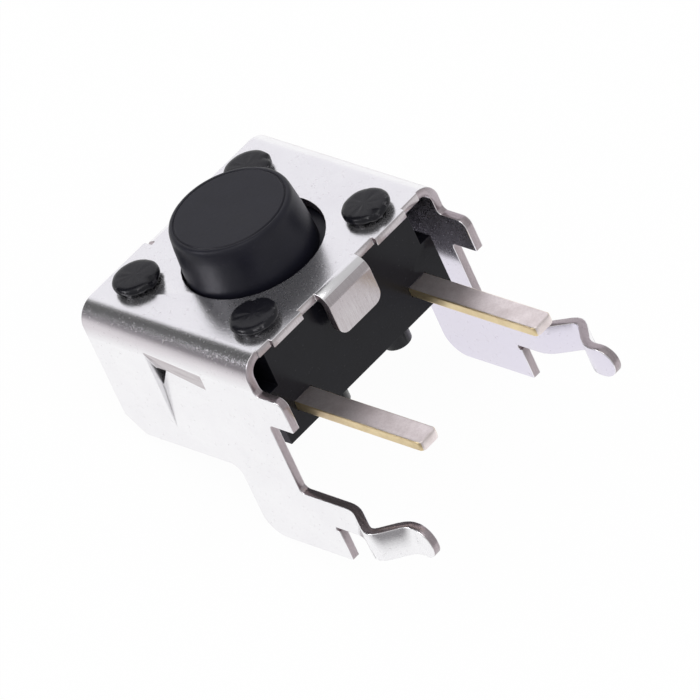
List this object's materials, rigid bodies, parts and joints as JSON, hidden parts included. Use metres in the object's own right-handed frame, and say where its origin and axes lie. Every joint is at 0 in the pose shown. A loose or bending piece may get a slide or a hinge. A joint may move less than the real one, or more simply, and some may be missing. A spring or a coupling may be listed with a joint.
{
  "type": "tactile push switch",
  "caption": "Right-angle tactile push switch: black round button in a folded sheet bracket with kinked snap-in legs and straight flat terminals.",
  "frame": {"origin": "on the board face (Z = 0), in the terminal row, midway between the two terminals", "axes": "+Z away from the board along the height, -Y out of the cover where the button points, +X along the terminal row; terminals and snap legs point to -Z"},
  "size_m": [0.0084, 0.0079, 0.0109],
  "materials": {
    "tinned_sheet": "bright tinned sheet steel with fine grain",
    "moulded_base": "satin black moulded plastic",
    "moulded_button": "satin black moulded plastic",
    "spring_sheet": "bright spring steel",
    "plated_terminal": "silver-plated brass strip with bare cut edges"
  },
  "bodies": {
    "housing": {"bracket": "tinned_sheet", "base": "moulded_base", "contact_rim": "plated_terminal", "contact_centre": "plated_terminal", "dome": "spring_sheet"},
    "button": {"button": "moulded_button"}
  },
  "joints": [
    {"name": "button_travel", "type": "slide", "parent": "housing", "child": "button", "axis": [0, 1, 0], "range_m": [0, 0.00025], "stiffness_N_per_m": 4000, "springref_m": -0.0002, "deforming": ["dome"]}
  ]
}
